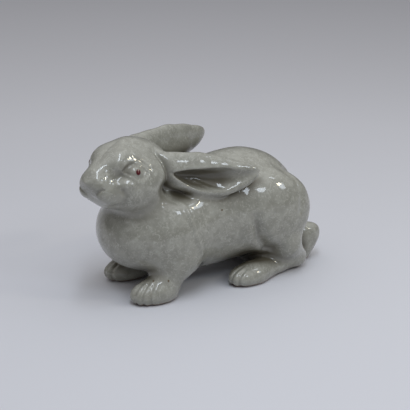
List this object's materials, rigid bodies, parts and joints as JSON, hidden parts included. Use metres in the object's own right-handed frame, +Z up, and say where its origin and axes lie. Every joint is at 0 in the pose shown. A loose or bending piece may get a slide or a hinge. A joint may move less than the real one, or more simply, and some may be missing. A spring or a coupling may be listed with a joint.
{
  "type": "ceramic rabbit figurine",
  "caption": "Hollow glazed stoneware rabbit, crouching with ears laid back and head turned to its left, to stand on a shelf as an ornament.",
  "frame": {"origin": "on the surface that the rabbit stands on, in the middle of its overall length and width", "axes": "+Z up, -Y from the rump towards the breast, +X towards the rabbit's left side"},
  "size_m": [0.0996, 0.2277, 0.1305],
  "materials": {
    "glaze": "glossy grey-white glaze over stoneware, cloudy and darker where it pools",
    "eye_enamel": "glossy dark red enamel"
  },
  "bodies": {
    "root": {"trunk_shell": "glaze", "head_shell": "glaze", "left_ear": "glaze", "right_ear": "glaze", "left_foreleg": "glaze", "right_foreleg": "glaze", "left_hind_leg": "glaze", "right_hind_leg": "glaze", "tail": "glaze", "left_eye_enamel": "eye_enamel", "right_eye_enamel": "eye_enamel"}
  },
  "joints": []
}
